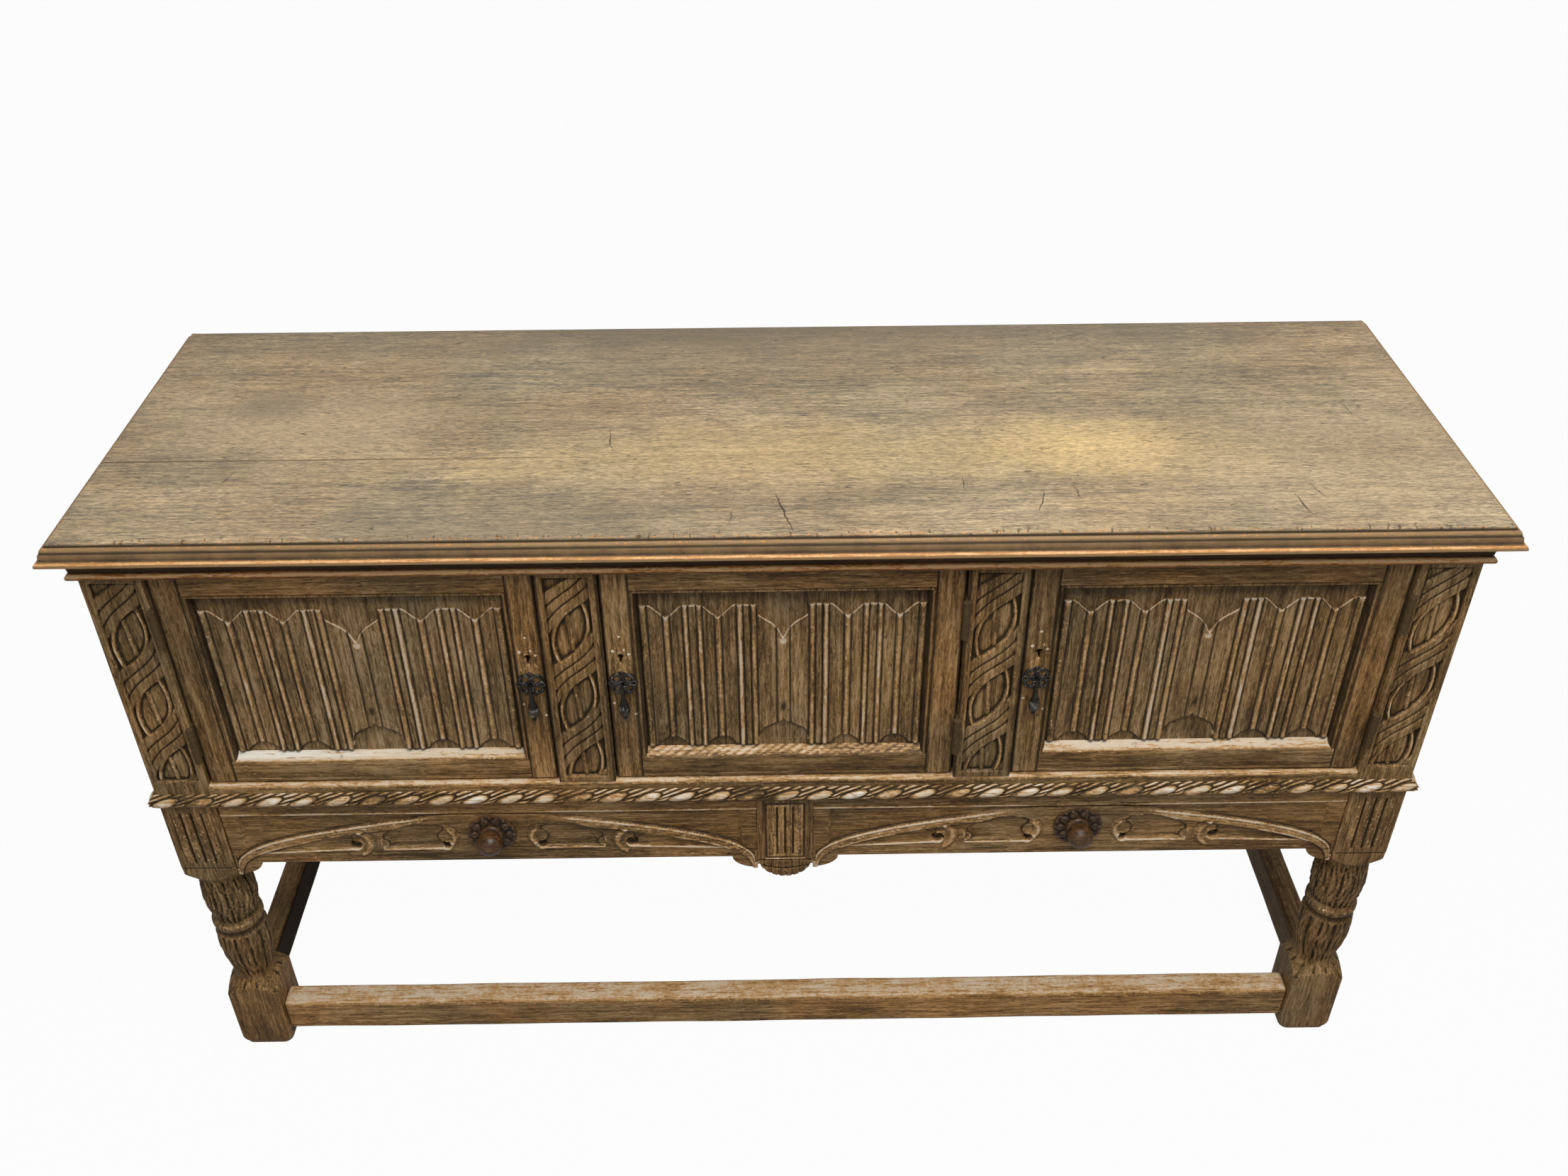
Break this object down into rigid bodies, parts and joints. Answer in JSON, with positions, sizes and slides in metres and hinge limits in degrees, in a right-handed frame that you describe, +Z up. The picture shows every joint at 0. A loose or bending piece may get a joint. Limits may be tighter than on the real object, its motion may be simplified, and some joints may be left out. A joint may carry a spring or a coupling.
{
  "type": "dresser base",
  "caption": "Carved oak dresser base with linenfold doors over arched tracery drawers, rope moulding, iron pear-drop handles and turned legs joined by stretchers.",
  "frame": {"origin": "on the floor under the middle of the top", "axes": "+Z up, +X to the right as seen from the front, +Y to the back"},
  "size_m": [1.676, 0.535, 0.915],
  "materials": {
    "oak": "waxed",
    "oak_inside": "bare",
    "iron": "blackened"
  },
  "bodies": {
    "carcase": {"top_front_board": "oak", "top_back_board": "oak", "cornice_moulding": "oak", "post_front_left": "oak", "post_front_right": "oak", "post_back_left": "oak", "post_back_right": "oak", "muntin_left": "oak", "muntin_right": "oak", "top_rail": "oak", "bottom_rail": "oak", "side_rails": "oak", "side_panel_left": "oak", "side_panel_right": "oak", "back_panel": "oak_inside", "back_rails": "oak_inside", "cupboard_floor": "oak_inside", "partitions": "oak_inside", "rope_moulding": "oak", "centre_block": "oak", "centre_bearer": "oak_inside", "drawer_runners": "oak_inside", "stretcher_front": "oak", "stretcher_back": "oak", "side_stretchers": "oak", "hinge_fixed_leaves": "iron"},
    "door_left": {"door_left_stiles": "oak", "door_left_rails": "oak", "door_left_panel": "oak", "door_left_hinge_leaves": "iron", "door_left_lock_case": "iron", "door_left_handle_plate": "iron"},
    "door_middle": {"door_middle_stiles": "oak", "door_middle_rails": "oak", "door_middle_panel": "oak", "door_middle_hinge_leaves": "iron", "door_middle_lock_case": "iron", "door_middle_handle_plate": "iron"},
    "door_right": {"door_right_stiles": "oak", "door_right_rails": "oak", "door_right_panel": "oak", "door_right_hinge_leaves": "iron", "door_right_lock_case": "iron", "door_right_handle_plate": "iron"},
    "drawer_left": {"drawer_left_front": "oak", "drawer_left_sides": "oak_inside", "drawer_left_back": "oak_inside", "drawer_left_bottom": "oak_inside", "drawer_left_knob": "oak"},
    "drawer_right": {"drawer_right_front": "oak", "drawer_right_sides": "oak_inside", "drawer_right_back": "oak_inside", "drawer_right_bottom": "oak_inside", "drawer_right_knob": "oak"},
    "drop_left": {"door_left_handle_drop": "iron"},
    "drop_middle": {"door_middle_handle_drop": "iron"},
    "drop_right": {"door_right_handle_drop": "iron"},
    "bolt_left": {"door_left_lock_bolt": "iron"},
    "bolt_middle": {"door_middle_lock_bolt": "iron"},
    "bolt_right": {"door_right_lock_bolt": "iron"}
  },
  "joints": [
    {"name": "door_left_swing", "type": "hinge", "parent": "carcase", "child": "door_left", "pos_m": [-0.7367, -0.2444, 0.692], "axis": [0, 0, -1], "range_deg": [0, 105]},
    {"name": "door_middle_swing", "type": "hinge", "parent": "carcase", "child": "door_middle", "pos_m": [0.2152, -0.2444, 0.692], "axis": [0, 0, 1], "range_deg": [0, 105]},
    {"name": "door_right_swing", "type": "hinge", "parent": "carcase", "child": "door_right", "pos_m": [0.7367, -0.2444, 0.692], "axis": [0, 0, 1], "range_deg": [0, 105]},
    {"name": "drawer_left_slide", "type": "slide", "parent": "carcase", "child": "drawer_left", "axis": [0, -1, 0], "range_m": [0, 0.3]},
    {"name": "drawer_right_slide", "type": "slide", "parent": "carcase", "child": "drawer_right", "axis": [0, -1, 0], "range_m": [0, 0.3]},
    {"name": "drop_left_swing", "type": "hinge", "parent": "door_left", "child": "drop_left", "pos_m": [-0.3085, -0.242, 0.687], "axis": [-1, 0, 0], "range_deg": [0, 85]},
    {"name": "drop_middle_swing", "type": "hinge", "parent": "door_middle", "child": "drop_middle", "pos_m": [-0.1965, -0.242, 0.687], "axis": [-1, 0, 0], "range_deg": [0, 85]},
    {"name": "drop_right_swing", "type": "hinge", "parent": "door_right", "child": "drop_right", "pos_m": [0.3085, -0.242, 0.687], "axis": [-1, 0, 0], "range_deg": [0, 85]},
    {"name": "bolt_left_slide", "type": "slide", "parent": "door_left", "child": "bolt_left", "axis": [1, 0, 0], "range_m": [0, 0.008]},
    {"name": "bolt_middle_slide", "type": "slide", "parent": "door_middle", "child": "bolt_middle", "axis": [-1, 0, 0], "range_m": [0, 0.008]},
    {"name": "bolt_right_slide", "type": "slide", "parent": "door_right", "child": "bolt_right", "axis": [-1, 0, 0], "range_m": [0, 0.008]}
  ]
}
